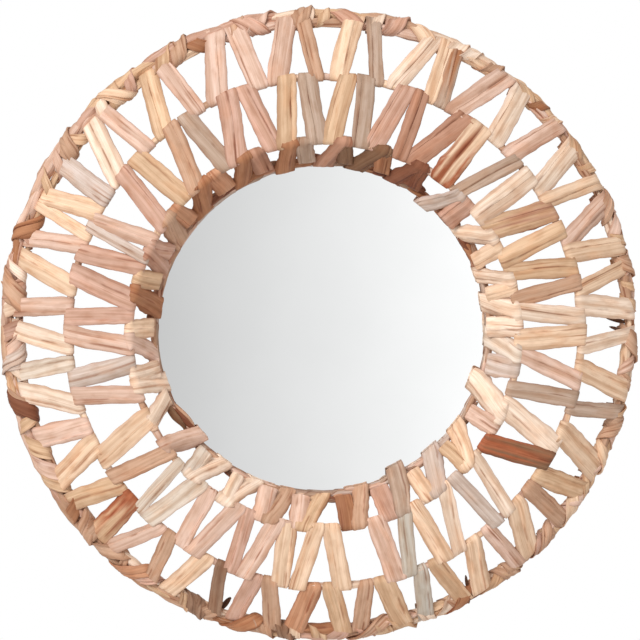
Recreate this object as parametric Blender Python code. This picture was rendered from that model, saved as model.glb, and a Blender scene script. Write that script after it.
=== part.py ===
"""A round wall mirror in a hand-woven frame of dried leaf strips.

The mirror hangs on a wall at y = 0 and looks along -Y, with +Z up. Its origin is on the back of
the hanger plate. All sizes are in metres, and all angles are in degrees clockwise from the top,
as seen from the front.

The frame is four rings of wrapped fibre, one in front of the other, with three bands of flat
strips between them. Each band zigzags from ring to ring: a strip lies on the front of both
rings, and folds round each one to its back.
"""

import math
from collections import namedtuple

import bmesh
import bpy
from mathutils import Matrix, Vector

# Overall sizes
OUTER_RADIUS = 0.300
CENTRE_BELOW_HANGER = 0.115
TOUCHING_GAP = 0.0003
SHARP_ANGLE = 35.0

# Leaf strips, and how far their folds stand off the ring inside them
STRIP_THICKNESS = 0.0017
FOLD_CLEARANCE = 0.0007
TURN_GAP = 0.0025

# Hanger plate: flat ears on the board, and a middle raised off it with a keyhole
PLATE_LENGTH = 0.072
PLATE_HEIGHT = 0.028
PLATE_THICKNESS = 0.0015
PLATE_RAISE = 0.0030
PLATE_MIDDLE = 0.030
PLATE_RAMP = 0.005
PLATE_TOP = 0.010
SLOT_TOP = -0.0030
SLOT_WIDTH = 0.0045
SLOT_CUTTER_DEPTH = 0.006
KEYHOLE_CENTRE = -0.0110
KEYHOLE_RADIUS = 0.0045
KEYHOLE_SIDES = 16

# Screws through the plate's ears, and the pilot holes they go into
SCREW_SPACING = 0.058
SCREW_HEIGHT = PLATE_TOP - PLATE_HEIGHT / 2.0
SCREW_HEAD_RADIUS = 0.0034
SCREW_HEAD_HEIGHT = 0.0014
SCREW_CROWN_RADIUS = 0.0022
SCREW_SHOULDER_DROP = 0.0006
SCREW_SHANK_RADIUS = 0.0015
SCREW_LENGTH = 0.0050
SCREW_HOLE_RADIUS = 0.0019
PILOT_HOLE_DEPTH = 0.00375
SCREW_SIDES = 12

# Board and glass, stacked in front of the plate
BOARD_RADIUS = 0.160
BOARD_THICKNESS = 0.005
GLASS_RADIUS = 0.158
GLASS_THICKNESS = 0.003
PLATE_FRONT = PLATE_RAISE + PLATE_THICKNESS
BOARD_BACK = PLATE_FRONT + TOUCHING_GAP
BOARD_FRONT = BOARD_BACK + BOARD_THICKNESS
GLASS_BACK = BOARD_FRONT + TOUCHING_GAP
GLASS_FRONT = GLASS_BACK + GLASS_THICKNESS
DISC_SIDES = 52

# Rings: radius, distance in front of the wall, thickness as a radius, facets along and across,
# and how many flats a strip's fold takes round them
FOLD_REACH = 0.0078
Ring = namedtuple("Ring", "radius depth tube segments sides fold_steps")
OUTER_RIM = Ring(OUTER_RADIUS - FOLD_REACH, 0.0092, 0.0055, 64, 8, 3)
SECOND_RING = Ring(0.2420, 0.0380, 0.0021, 56, 6, 2)
THIRD_RING = Ring(0.1840, 0.0455, 0.0021, 52, 6, 2)
INNER_RING = Ring(0.1580, 0.0195, 0.0024, 52, 6, 2)

# Where the weave turns over each ring. The turns are hand spaced, 26 to a ring.
RIM_TURNS = (
    8, 23.5, 38.5, 51.5, 64.5, 76.5, 89, 104, 119, 138.5, 150.5, 162.5, 174.5,
    187.5, 199, 212, 225.5, 237.5, 259.5, 271.5, 285, 294.5, 313, 327, 341.5, 355,
)
SECOND_TURNS = (
    8, 21.5, 37, 52, 65.5, 78.5, 90, 104, 119.5, 136.5, 150, 162, 173.5,
    187, 199, 211.5, 223.5, 236.5, 256.5, 270.5, 284.5, 294, 310.5, 325, 340, 354.5,
)
THIRD_TURNS = (
    6.5, 20, 33, 47.5, 63.5, 77, 88, 100.5, 117.5, 133.5, 146.5, 158.5, 171,
    185, 197, 209, 222, 233, 253.5, 267.5, 282, 294, 306.5, 322, 337, 352,
)
# The weave turns under the next ring midway between two turns, less this drift
OUTER_DRIFT = 0.65
MIDDLE_DRIFT = 1.15
INNER_DRIFT = 1.65
# Wide gaps of the outer band where a third strip stands between the two
THIRD_STRIP_GAPS = (8, 17, 21)

# Widest reach of a turn to each side of its centre, in degrees
RIM_REACH = 3.3
SECOND_REACH = 3.5
THIRD_REACH = 4.3
INNER_REACH = 5.6
THREE_STRIP_REACH = 4.4
LONE_STRIP_REACH = 1.3
# Share of the space between two bands' turns that the outer one takes on their ring
SECOND_SHARE = 0.53
THIRD_SHARE = 0.60


def material(name, colour, roughness, metallic=0.0):
    """A plain Principled material."""
    result = bpy.data.materials.new(name)
    result.use_nodes = True
    shader = result.node_tree.nodes["Principled BSDF"]
    shader.inputs["Base Color"].default_value = (*colour, 1.0)
    shader.inputs["Roughness"].default_value = roughness
    shader.inputs["Metallic"].default_value = metallic
    result.diffuse_color = (*colour, 1.0)
    return result


def add_object(name, bm, finish, parent, location=(0.0, 0.0, 0.0)):
    """Turns a bmesh into a named object with one material, under a parent."""
    bmesh.ops.recalc_face_normals(bm, faces=bm.faces)
    mesh = bpy.data.meshes.new(name)
    bm.to_mesh(mesh)
    bm.free()
    mesh.materials.append(finish)
    mesh.shade_smooth()
    mesh.set_sharp_from_angle(angle=math.radians(SHARP_ANGLE))
    result = bpy.data.objects.new(name, mesh)
    bpy.context.collection.objects.link(result)
    result.parent = parent
    result.location = location
    return result


def cut(target, name, bm, parent, location):
    """Cuts a closed shape out of an object, and keeps the cutter as a guide."""
    cutter = add_object(name, bm, target.data.materials[0], parent, location)
    cutter.hide_render = True
    cutter.display_type = "WIRE"
    modifier = target.modifiers.new(name, "BOOLEAN")
    modifier.operation = "DIFFERENCE"
    modifier.solver = "EXACT"
    modifier.object = cutter


def on_ring(radius, angle, depth):
    """The point at a radius and an angle round the mirror's centre, in front of the wall."""
    turn = math.radians(angle)
    return Vector((radius * math.sin(turn), -depth, radius * math.cos(turn)))


def turned(profile, sides):
    """A solid of revolution about the Y axis, from (radius, depth) points, poles included."""
    bm = bmesh.new()
    rows = []
    for radius, depth in profile:
        count = sides if radius > 0.0 else 1
        rows.append([bm.verts.new(on_ring(radius, 360.0 * k / sides, depth)) for k in range(count)])
    for row, following in zip(rows, rows[1:]):
        for k in range(sides):
            after = (k + 1) % sides
            corners = [row[k % len(row)], row[after % len(row)]]
            corners += [following[after % len(following)], following[k % len(following)]]
            bm.faces.new(list(dict.fromkeys(corners)))
    return bm


def disc(radius, back, front, sides=DISC_SIDES):
    """A plain round plate or pin between two distances from the wall."""
    return turned([(0.0, back), (radius, back), (radius, front), (0.0, front)], sides)


def ring_body(ring):
    """A round ring of fibre wrapped on itself."""
    bm = bmesh.new()
    rows = []
    for k in range(ring.segments):
        row = []
        for side in range(ring.sides):
            around = 2.0 * math.pi * (side + 0.5) / ring.sides
            radius = ring.radius + ring.tube * math.cos(around)
            depth = ring.depth + ring.tube * math.sin(around)
            row.append(bm.verts.new(on_ring(radius, 360.0 * k / ring.segments, depth)))
        rows.append(row)
    for k, row in enumerate(rows):
        following = rows[(k + 1) % ring.segments]
        for side in range(ring.sides):
            after = (side + 1) % ring.sides
            bm.faces.new([row[side], row[after], following[after], following[side]])
    return bm


def turns_under(turns, drift):
    """Where the weave turns back on the next ring: midway between its turns, less the drift."""
    following = list(turns[1:]) + [turns[0] + 360.0]
    return [(here + after) / 2.0 - drift for here, after in zip(turns, following)]


def reach(turn, others, direction, share, widest, gap):
    """How far a turn reaches to one side before it meets the next band's turn."""
    distances = [((other - turn) * direction) % 360.0 for other in others]
    room = share * min(distances, default=360.0) - gap / 2.0
    return min(widest, room)


def span(turn, others, share, widest, ring):
    """A turn's edges round its ring: left side, centre, right side."""
    gap = math.degrees(TURN_GAP / ring.radius)
    left = turn - reach(turn, others, -1, share, widest, gap)
    right = turn + reach(turn, others, 1, share, widest, gap)
    return [left, turn, right]


def fold(bm, ring, edges, side, clearance):
    """The part of a turn that folds round its ring, from the front to the back.

    Returns the outer and inner corners on the ring's front, one pair for each edge.
    """
    steps = ring.fold_steps
    inner = (ring.tube + clearance) / math.cos(math.pi / (2 * steps))
    outer = inner + STRIP_THICKNESS
    columns = []
    for angle in edges:
        column = []
        for step in range(steps + 1):
            around = math.pi * step / steps
            pair = []
            for distance in (outer, inner):
                radius = ring.radius + side * distance * math.sin(around)
                depth = ring.depth + distance * math.cos(around)
                pair.append(bm.verts.new(on_ring(radius, angle, depth)))
            column.append(pair)
        columns.append(column)
    for left, right in zip(columns, columns[1:]):
        for step in range(steps):
            for skin in (0, 1):
                bm.faces.new([left[step][skin], right[step][skin],
                              right[step + 1][skin], left[step + 1][skin]])
        bm.faces.new([left[steps][0], right[steps][0], right[steps][1], left[steps][1]])
    for column in (columns[0], columns[-1]):
        for step in range(steps):
            bm.faces.new([column[step][0], column[step][1],
                          column[step + 1][1], column[step + 1][0]])
    return [column[0] for column in columns]


def strips_of(fronts):
    """The left and right corners of each strip that leaves a row of turns, in order."""
    return [pair for corners in fronts for pair in zip(corners, corners[1:])]


def weave(over_ring, over_spans, under_ring, under_spans, over_clearance=FOLD_CLEARANCE):
    """One zigzag band of strips between two rings, as one closed body."""
    bm = bmesh.new()
    over = [fold(bm, over_ring, edges, 1, over_clearance) for edges in over_spans]
    under = [fold(bm, under_ring, edges, -1, FOLD_CLEARANCE) for edges in under_spans]
    tops = strips_of(over)
    bottoms = strips_of(under)
    bottoms = bottoms[-1:] + bottoms[:-1]
    for (top_left, top_right), (low_left, low_right) in zip(tops, bottoms):
        for skin in (0, 1):
            bm.faces.new([top_left[skin], top_right[skin], low_right[skin], low_left[skin]])
        bm.faces.new([top_left[0], top_left[1], low_left[1], low_left[0]])
        bm.faces.new([top_right[0], top_right[1], low_right[1], low_right[0]])
    return bm


def outer_weave():
    """The band between the rim and the second ring, with its three lone strips."""
    over_spans = [span(turn, (), 1.0, RIM_REACH, OUTER_RIM) for turn in RIM_TURNS]
    under_spans = []
    for index, turn in enumerate(turns_under(RIM_TURNS, OUTER_DRIFT)):
        three = index in THIRD_STRIP_GAPS
        widest = THREE_STRIP_REACH if three else SECOND_REACH
        left, centre, right = span(turn, SECOND_TURNS, SECOND_SHARE, widest, SECOND_RING)
        lone = [centre - LONE_STRIP_REACH, centre + LONE_STRIP_REACH]
        under_spans.append([left, *lone, right] if three else [left, centre, right])
        if three:
            over_spans.append(lone)
    over_spans.sort()
    return weave(OUTER_RIM, over_spans, SECOND_RING, under_spans)


def middle_weave():
    """The band between the second ring and the third."""
    outer_under = turns_under(RIM_TURNS, OUTER_DRIFT)
    under = turns_under(SECOND_TURNS, MIDDLE_DRIFT)
    over_spans = [span(turn, outer_under, 1.0 - SECOND_SHARE, SECOND_REACH, SECOND_RING)
                  for turn in SECOND_TURNS]
    under_spans = [span(turn, THIRD_TURNS, THIRD_SHARE, THIRD_REACH, THIRD_RING)
                   for turn in under]
    return weave(SECOND_RING, over_spans, THIRD_RING, under_spans)


def inner_weave():
    """The short steep band that drops from the third ring to the one on the glass.

    Its folds stand off the third ring by a strip more, to pass in front of the middle band's.
    """
    middle_under = turns_under(SECOND_TURNS, MIDDLE_DRIFT)
    under = turns_under(THIRD_TURNS, INNER_DRIFT)
    over_spans = [span(turn, middle_under, 1.0 - THIRD_SHARE, THIRD_REACH, THIRD_RING)
                  for turn in THIRD_TURNS]
    under_spans = [span(turn, (), 1.0, INNER_REACH, INNER_RING) for turn in under]
    clearance = FOLD_CLEARANCE + STRIP_THICKNESS
    return weave(THIRD_RING, over_spans, INNER_RING, under_spans, clearance)


def plate_blank():
    """The hanger plate's bent strap: two ears on the board and the raised middle."""
    half = PLATE_LENGTH / 2.0
    middle = PLATE_MIDDLE / 2.0
    ramp = middle + PLATE_RAMP
    back = [(-half, PLATE_RAISE), (-ramp, PLATE_RAISE), (-middle, 0.0),
            (middle, 0.0), (ramp, PLATE_RAISE), (half, PLATE_RAISE)]
    front = [(x, depth + PLATE_THICKNESS) for x, depth in reversed(back)]
    bm = bmesh.new()
    outline = [bm.verts.new((x, -depth, PLATE_TOP - PLATE_HEIGHT)) for x, depth in back + front]
    face = bm.faces.new(outline)
    extruded = bmesh.ops.extrude_face_region(bm, geom=[face])
    raised = [item for item in extruded["geom"] if isinstance(item, bmesh.types.BMVert)]
    bmesh.ops.translate(bm, verts=raised, vec=(0.0, 0.0, PLATE_HEIGHT))
    return bm


def slot():
    """The keyhole's narrow upper part, as a box."""
    bm = bmesh.new()
    bmesh.ops.create_cube(bm, size=1.0)
    height = SLOT_TOP - KEYHOLE_CENTRE
    size = Matrix.Diagonal((SLOT_WIDTH, SLOT_CUTTER_DEPTH, height, 1.0))
    bmesh.ops.transform(bm, matrix=size, verts=bm.verts)
    return bm


def hanger_plate(finish, parent):
    """The steel hanger with its keyhole and screw holes."""
    plate = add_object("hanger_plate", plate_blank(), finish, parent)
    through = 2.0 * PLATE_FRONT
    keyhole = disc(KEYHOLE_RADIUS, -PLATE_FRONT, through, KEYHOLE_SIDES)
    cut(plate, "keyhole_cutter", keyhole, parent, (0.0, 0.0, KEYHOLE_CENTRE))
    slot_middle = (SLOT_TOP + KEYHOLE_CENTRE) / 2.0
    cut(plate, "slot_cutter", slot(), parent, (0.0, 0.0, slot_middle))
    for side in (-1, 1):
        hole = disc(SCREW_HOLE_RADIUS, 0.0, through, SCREW_SIDES)
        place = (side * SCREW_SPACING / 2.0, 0.0, SCREW_HEIGHT)
        cut(plate, f"screw_cutter_{'left' if side < 0 else 'right'}", hole, parent, place)
    return plate


def screw(name, finish, parent, location):
    """A pan-head wood screw, from its head on the plate's ear to its end in the board."""
    back = PLATE_RAISE - TOUCHING_GAP - SCREW_HEAD_HEIGHT
    under_head = PLATE_RAISE - TOUCHING_GAP
    shoulder = back + SCREW_SHOULDER_DROP
    end = BOARD_BACK + SCREW_LENGTH - PLATE_THICKNESS
    profile = [(0.0, back), (SCREW_CROWN_RADIUS, back), (SCREW_HEAD_RADIUS, shoulder),
               (SCREW_HEAD_RADIUS, under_head), (SCREW_SHANK_RADIUS, under_head),
               (SCREW_SHANK_RADIUS, end), (0.0, end)]
    return add_object(name, turned(profile, SCREW_SIDES), finish, parent, location)


def build():
    """Makes the whole mirror."""
    for item in list(bpy.data.objects):
        bpy.data.objects.remove(item, do_unlink=True)

    pale_leaf = material("pale_leaf", (0.70, 0.52, 0.36), 0.7)
    tan_leaf = material("tan_leaf", (0.62, 0.44, 0.29), 0.7)
    brown_leaf = material("brown_leaf", (0.46, 0.30, 0.19), 0.75)
    silvered_glass = material("silvered_glass", (0.85, 0.86, 0.87), 0.03, 1.0)
    fibreboard = material("fibreboard", (0.33, 0.23, 0.15), 0.8)
    zinc = material("zinc_steel", (0.55, 0.56, 0.58), 0.35, 1.0)

    hanger = bpy.data.objects.new("hanger", None)
    bpy.context.collection.objects.link(hanger)
    centre = bpy.data.objects.new("mirror_centre", None)
    bpy.context.collection.objects.link(centre)
    centre.parent = hanger
    centre.location = (0.0, 0.0, -CENTRE_BELOW_HANGER)

    add_object("mirror_glass", disc(GLASS_RADIUS, GLASS_BACK, GLASS_FRONT), silvered_glass, centre)
    board = add_object("backing_board", disc(BOARD_RADIUS, BOARD_BACK, BOARD_FRONT),
                       fibreboard, centre)

    hanger_plate(zinc, hanger)
    for side, word in ((-1, "left"), (1, "right")):
        place = (side * SCREW_SPACING / 2.0, 0.0, SCREW_HEIGHT)
        screw(f"hanger_screw_{word}", zinc, hanger, place)
        hole = disc(SCREW_HOLE_RADIUS, 0.0, BOARD_BACK + PILOT_HOLE_DEPTH, SCREW_SIDES)
        cut(board, f"pilot_cutter_{word}", hole, hanger, place)

    add_object("outer_rim", ring_body(OUTER_RIM), tan_leaf, centre)
    add_object("second_ring", ring_body(SECOND_RING), tan_leaf, centre)
    add_object("third_ring", ring_body(THIRD_RING), tan_leaf, centre)
    add_object("inner_ring", ring_body(INNER_RING), brown_leaf, centre)

    add_object("outer_weave", outer_weave(), pale_leaf, centre)
    add_object("middle_weave", middle_weave(), pale_leaf, centre)
    add_object("inner_weave", inner_weave(), brown_leaf, centre)


build()
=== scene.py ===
"""The looks of a round wall mirror in a hand-woven frame of dried leaf strips.

Four wrapped rings stand at different distances from the wall, and three bands of folded leaf
zigzag from ring to ring. Every strip is a copy of a leaf blank, laid along its own path: round
the back of one ring, over both fronts, and round the back of the next. All sizes are in metres.
Angles are in degrees clockwise from the top, as seen from the front.
"""

import math
import random
from collections import namedtuple

import bpy
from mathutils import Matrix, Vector, noise


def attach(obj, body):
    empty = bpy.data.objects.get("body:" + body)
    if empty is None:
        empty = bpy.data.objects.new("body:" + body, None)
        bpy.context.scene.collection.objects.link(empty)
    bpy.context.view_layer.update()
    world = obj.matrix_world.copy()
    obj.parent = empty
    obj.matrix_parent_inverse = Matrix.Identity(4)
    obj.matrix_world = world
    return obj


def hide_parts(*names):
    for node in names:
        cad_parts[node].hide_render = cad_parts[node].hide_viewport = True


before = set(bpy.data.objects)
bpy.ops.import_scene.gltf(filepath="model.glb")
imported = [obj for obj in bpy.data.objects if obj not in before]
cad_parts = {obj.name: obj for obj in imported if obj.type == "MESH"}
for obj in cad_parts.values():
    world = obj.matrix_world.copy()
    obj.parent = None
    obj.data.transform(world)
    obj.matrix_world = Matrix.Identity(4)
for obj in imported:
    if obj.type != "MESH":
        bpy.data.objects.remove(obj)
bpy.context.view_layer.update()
SEED = 11

# The frame isn't quite round: it is longer from its upper left to its lower right, by this share
LONGER = 0.017

# The mirror's centre, and the rings: radius, distance in front of the wall, and thickness as a
# radius. Each is a little off the centre, by so much to the right and up. In the photograph its
# middle shows off the picture's middle, by so many degrees of its girth to the right and down.
CENTRE = Vector((0.0, 0.0, -0.115))
Ring = namedtuple("Ring", "radius depth tube right up seen_right seen_down longer", defaults=(LONGER,))
RIM_FRONT = Ring(0.2893, 0.0126, 0.0044, 0.0022, -0.0002, 0.85, 0.82)
RIM_BACK = Ring(0.2955, 0.0080, 0.0064, -0.0012, 0.0002, 0.85, 0.82)
RIM_WHOLE = Ring(0.2890, 0.0096, 0.0080, 0.0008, 0.0000, 0.85, 0.82)
SECOND_RING = Ring(0.2410, 0.0380, 0.0033, 0.0006, -0.0007, 1.52, 1.93)
THIRD_RING = Ring(0.1825, 0.0455, 0.0033, -0.0023, -0.0002, 1.21, 2.71)
INNER_RING = Ring(0.1590, 0.0170, 0.0026, -0.0024, 0.0016, 0.6, 1.5)
FLAP_RING = Ring(0.1640, 0.0250, 0.0036, -0.0024, 0.0016, 0.6, 1.5)

# The winding round the edge of the glass, which isn't longer in any direction
GLASS_EDGE = Ring(0.1605, 0.0128, 0.0030, 0.0, 0.0, 0.6, 1.5, 0.0)

# The weave is turned by this much from the angles that the photograph shows
TWIST = 0.4

# Between these angles the strips are wrapped round the rim's front strand, and elsewhere round
# both of its strands
FRONT_ONLY = (168.0, 336.0)

# The inner ring is in shade, with thicker rolls in darker tones that are painted shade, after the
# first angle and before the second
SHADED = (270.0, 62.0)

# Leaf tones, as colours from 0 to 255
# SHADE_BROWN is leaf as it looks in shade: painted shade
SHADE_BROWN = (104, 72, 52)
CHESTNUT = (134, 82, 56)
BARK = (134, 98, 70)
UMBER = (152, 118, 94)
EMBER = (174, 100, 64)
RUSSET = (173, 119, 83)
CLAY = (184, 136, 110)
ORANGE = (200, 146, 111)
ROSE = (208, 166, 144)
TAUPE = (190, 163, 142)
TAN = (199, 159, 130)
SAND = (219, 182, 146)
PINK = (224, 189, 168)
HONEY = (236, 202, 170)
CREAM = (242, 216, 192)
GREY = (210, 190, 176)
ASH = (224, 206, 187)
SAGE = (202, 190, 174)

# Leaves that change from one tone at the top to another at the foot
SCORCHED = (HONEY, EMBER)
SINGED = (SAND, EMBER)
STAINED = (BARK, EMBER)
WASHED = (RUSSET, TAUPE)
BLEACHED = (CLAY, SAND)

# Each strip of a band: the angle of its foot and of its top, its tone, and its width. Each tone is the
# leaf's own colour, partly lighter or darker as painted light and shade for its side of the frame.
OUTER_STRIPS = (
    (3.9, 6.2, HONEY, 1.18), (12.7, 10.0, TAUPE, 0.84), (17.0, 21.4, CREAM, 1.12),
    (25.4, 24.0, HONEY, 0.86), (28.1, 25.9, WASHED, 0.98), (31.6, 36.0, PINK, 1.26),
    (42.5, 40.4, CREAM, 1.28), (47.6, 49.6, PINK, 1.1), (57.5, 54.4, CREAM, 1.25),
    (60.5, 62.1, HONEY, 0.95), (70.7, 66.5, PINK, 1.22), (73.4, 74.8, HONEY, 1.17),
    (81.7, 78.5, HONEY, 1.0), (85.2, 86.8, CREAM, 1.28), (94.2, 91.4, CREAM, 0.98),
    (99.4, 102.0, HONEY, 1.3), (108.2, 106.2, TAUPE, 0.94), (113.6, 117.4, HONEY, 1.52),
    (124.3, 122.2, SAND, 1.3), (128.0, 128.9, TAN, 1.12), (132.6, 137.3, HONEY, 1.36),
    (140.7, 140.5, PINK, 0.94), (145.0, 148.6, HONEY, 1.18), (154.4, 152.6, SAND, 1.03),
    (157.9, 160.2, SAGE, 0.94), (166.4, 164.7, SAND, 1.24), (170.3, 173.1, TAN, 1.0),
    (178.0, 176.2, SAND, 1.1), (182.0, 185.6, ORANGE, 1.25), (191.5, 189.5, TAN, 1.0),
    (194.8, 196.9, ROSE, 1.06), (202.6, 200.7, UMBER, 0.8), (206.7, 210.4, HONEY, 1.2),
    (215.8, 214.1, TAN, 0.9), (218.9, 223.8, PINK, 0.98), (227.8, 227.2, SINGED, 1.4),
    (231.8, 235.2, SAND, 1.24), (242.4, 239.6, HONEY, 1.36), (247.0, 248.6, PINK, 1.32),
    (252.3, 257.7, CREAM, 1.2), (261.8, 261.5, ASH, 1.0), (265.9, 269.7, CREAM, 1.14),
    (275.0, 273.7, PINK, 1.05), (279.3, 283.0, HONEY, 1.2), (289.1, 286.9, PINK, 1.0),
    (291.8, 293.4, HONEY, 0.78), (297.6, 295.5, HONEY, 1.18), (301.5, 302.4, GREY, 1.22),
    (306.3, 311.5, CREAM, 1.26), (316.1, 314.8, PINK, 1.0), (321.1, 325.5, SAND, 1.14),
    (330.6, 328.7, PINK, 1.02), (335.6, 339.9, PINK, 1.22), (345.8, 344.1, PINK, 1.15),
    (349.9, 353.6, PINK, 1.18), (359.1, 356.8, TAN, 0.86),
)
MIDDLE_STRIPS = (
    (3.0, 6.2, SAND, 1.12), (11.9, 10.3, TAUPE, 1.08), (15.9, 19.6, ROSE, 1.16), (24.4, 23.2, CLAY, 0.95),
    (28.8, 34.4, CLAY, 1.26), (38.9, 38.7, SCORCHED, 1.52), (45.0, 49.5, TAUPE, 0.9),
    (54.5, 53.9, CREAM, 1.35), (59.5, 63.0, BLEACHED, 1.4), (69.4, 67.8, SAND, 1.17),
    (73.4, 76.6, SAND, 1.14), (81.8, 80.0, TAN, 0.97), (85.2, 87.8, CREAM, 1.08),
    (93.6, 91.8, HONEY, 1.28), (97.4, 101.9, PINK, 1.05), (107.9, 106.0, TAUPE, 1.04),
    (113.4, 117.6, CREAM, 1.4), (125.4, 120.6, STAINED, 1.26), (130.5, 134.7, CREAM, 0.88),
    (138.8, 138.3, GREY, 0.92), (142.8, 148.4, CREAM, 0.88), (152.9, 152.0, HONEY, 1.1),
    (155.9, 160.5, SAGE, 0.9), (164.5, 163.5, PINK, 1.2), (177.5, 175.4, HONEY, 1.1),
    (181.5, 185.4, HONEY, 0.98), (189.9, 189.1, HONEY, 1.1), (193.3, 197.3, PINK, 1.07),
    (201.5, 200.5, ROSE, 0.9), (205.2, 209.7, PINK, 1.1), (214.1, 213.0, PINK, 0.97),
    (218.0, 221.8, ASH, 1.13), (226.2, 225.0, ASH, 0.74), (230.6, 234.2, TAN, 1.0),
    (242.5, 239.0, HONEY, 1.35), (249.7, 254.5, PINK, 1.05), (259.3, 258.2, GREY, 1.17),
    (264.3, 268.6, PINK, 1.12), (273.6, 272.3, ROSE, 1.0), (278.1, 282.3, ROSE, 1.28),
    (288.6, 287.4, ROSE, 1.08), (291.6, 293.6, GREY, 0.66), (297.4, 295.1, PINK, 0.95),
    (303.1, 308.1, ROSE, 1.1), (313.6, 312.6, SAND, 1.24), (318.1, 323.3, TAN, 1.05),
    (329.6, 327.6, TAUPE, 1.12), (333.5, 337.9, ROSE, 1.24), (345.3, 342.5, ROSE, 1.18),
    (349.2, 352.2, SAND, 1.15), (358.6, 356.9, TAUPE, 1.16),
)

# The inner band: each strip that leans to the left, and the flap behind it. The last number, where
# there is one, is how much further its foot reaches over the glass than the others do.
# Towards the top the tones are darker: painted shade where the band faces down
INNER_STRIPS = (
    (1.5, 6.3, CLAY, 1.2), (8.0, 6.5, BARK, 1.0), (12.7, 18.2, BARK, 1.2), (20.8, 18.7, RUSSET, 1.0),
    (26.0, 30.5, CHESTNUT, 1.15), (33.0, 31.7, CHESTNUT, 1.05), (40.3, 45.0, GREY, 1.0, 0.0045),
    (49.8, 49.0, ROSE, 1.35, 0.0040), (56.0, 61.0, CREAM, 1.3, -0.0010), (67.4, 65.5, HONEY, 1.1, 0.0020),
    (71.7, 75.0, CREAM, 1.0), (79.0, 78.2, HONEY, 0.9), (82.0, 85.0, CREAM, 1.3, 0.0010),
    (89.8, 89.5, CREAM, 1.25, 0.0030), (94.0, 97.0, ASH, 1.3, -0.0010), (102.2, 101.5, GREY, 1.3),
    (110.0, 115.7, CREAM, 1.5, 0.0050), (120.0, 119.3, PINK, 1.1), (127.0, 132.4, HONEY, 1.15, -0.0020),
    (134.6, 134.0, SAND, 0.9), (139.0, 144.2, GREY, 1.2, 0.0005), (148.0, 147.2, HONEY, 1.05),
    (152.2, 155.8, TAUPE, 1.1, 0.0060), (160.5, 159.6, ROSE, 1.1), (166.0, 169.2, TAN, 1.0, -0.0005),
    (173.2, 172.4, RUSSET, 1.05), (180.0, 184.5, SAND, 1.1, -0.0030), (187.0, 186.2, PINK, 1.1),
    (191.5, 194.7, TAN, 1.1, -0.0025), (198.0, 197.2, PINK, 1.15, 0.0010),
    (202.8, 208.3, CREAM, 1.25, -0.0025), (209.5, 208.8, CREAM, 0.8), (215.4, 220.3, CREAM, 1.2, -0.0015),
    (222.8, 222.0, ASH, 1.05), (228.2, 232.5, PINK, 1.1, 0.0040), (245.5, 240.3, CREAM, 1.15, 0.0010),
    (249.2, 251.9, CREAM, 1.1), (255.8, 255.0, CREAM, 1.15, 0.0010), (260.0, 265.2, PINK, 1.1, -0.0025),
    (269.8, 269.0, HONEY, 1.15), (276.2, 280.0, RUSSET, 1.25, 0.0020), (285.5, 284.6, SAND, 1.1),
    (290.0, 293.3, ROSE, 1.1, -0.0010), (296.4, 295.4, ROSE, 1.0), (301.5, 304.9, TAN, 1.2),
    (309.5, 308.6, ORANGE, 1.0), (315.0, 320.0, RUSSET, 1.3), (325.6, 324.8, ORANGE, 1.1),
    (332.0, 335.0, RUSSET, 1.15), (339.8, 338.8, CLAY, 1.1), (347.4, 350.0, RUSSET, 1.15, 0.0020),
    (355.0, 354.2, TAUPE, 1.1),
)

# Middles of the pairs of strips over the rim
RIM_TURNS = (
    8, 23.5, 38.5, 51.5, 64.5, 76.5, 89, 104, 119, 138.5, 150.5, 162.5, 174.5,
    187.5, 199, 212, 225.5, 237.5, 259.5, 271.5, 285, 294.5, 313, 327, 341.5, 355,
)

# Knots round the rim: angle, tone, size, and 1 or -1 for the side that they lean to
RIM_KNOTS = (
    (13, ROSE, 1.2, 1), (66, TAN, 0.9, -1), (78, TAN, 1.0, 1), (93, TAN, 1.3, 1), (108, TAN, 0.9, -1),
    (115, HONEY, 1.0, 1), (133, TAN, 1.0, 1), (142, TAN, 1.0, -1), (153, RUSSET, 1.0, 1),
    (170, TAN, 1.2, 1), (186, UMBER, 1.1, -1), (194, RUSSET, 1.1, 1), (203, UMBER, 1.1, -1),
    (217, ORANGE, 1.2, 1), (228, TAN, 1.3, -1), (254, CHESTNUT, 1.0, 1), (263, GREY, 1.0, -1),
    (276, TAN, 1.3, 1), (288, RUSSET, 1.1, -1), (305, TAN, 1.0, 1), (318, HONEY, 1.0, -1),
    (332, TAN, 1.0, 1), (346, ROSE, 0.9, -1), (356, TAN, 1.0, 1),
)

# Leaf ends below the rim, dark with painted shade: angle, how far they reach in from the rim, and
# thickness
STUBS = ((88.8, 0.021, 0.0020), (90.6, 0.018, 0.0017), (150.8, 0.016, 0.0017), (199.2, 0.016, 0.0028))

# Loose leaf by the inner ring: first and last angle, distance from the middle at each, thickness,
# and tone
# The darker tones among them are partly the leaf's own and partly painted shade
LOOSE_ENDS = (
    (224.0, 236.0, 0.1580, 0.1610, 0.0024, CHESTNUT), (228.0, 245.0, 0.1530, 0.1620, 0.0036, CHESTNUT),
    (231.0, 242.0, 0.1520, 0.1570, 0.0024, TAN), (232.0, 248.0, 0.1600, 0.1650, 0.0034, BARK),
    (233.0, 244.0, 0.1585, 0.1650, 0.0022, SHADE_BROWN), (116.0, 123.0, 0.1640, 0.1590, 0.0022, UMBER),
    (143.5, 150.5, 0.1625, 0.1570, 0.0024, UMBER), (154.5, 160.0, 0.1560, 0.1575, 0.0026, TAUPE),
    (163.0, 172.0, 0.1600, 0.1550, 0.0030, PINK), (169.0, 176.0, 0.1640, 0.1600, 0.0030, ORANGE),
    (61.0, 69.0, 0.1650, 0.1600, 0.0034, UMBER), (34.0, 41.0, 0.1600, 0.1570, 0.0022, TAN),
    (323.0, 333.0, 0.1575, 0.1545, 0.0020, PINK),
)

# Leaf blanks: columns across and rows along, for the strips and for the wraps round the rim
STRIP_GRID = (12, 40)
WRAP_GRID = (8, 20)
STRIP_WIDTH = 0.0162
LEAF_THICKNESS = 0.0016
LEAF_EDGE_ROUND = 0.0005

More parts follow.
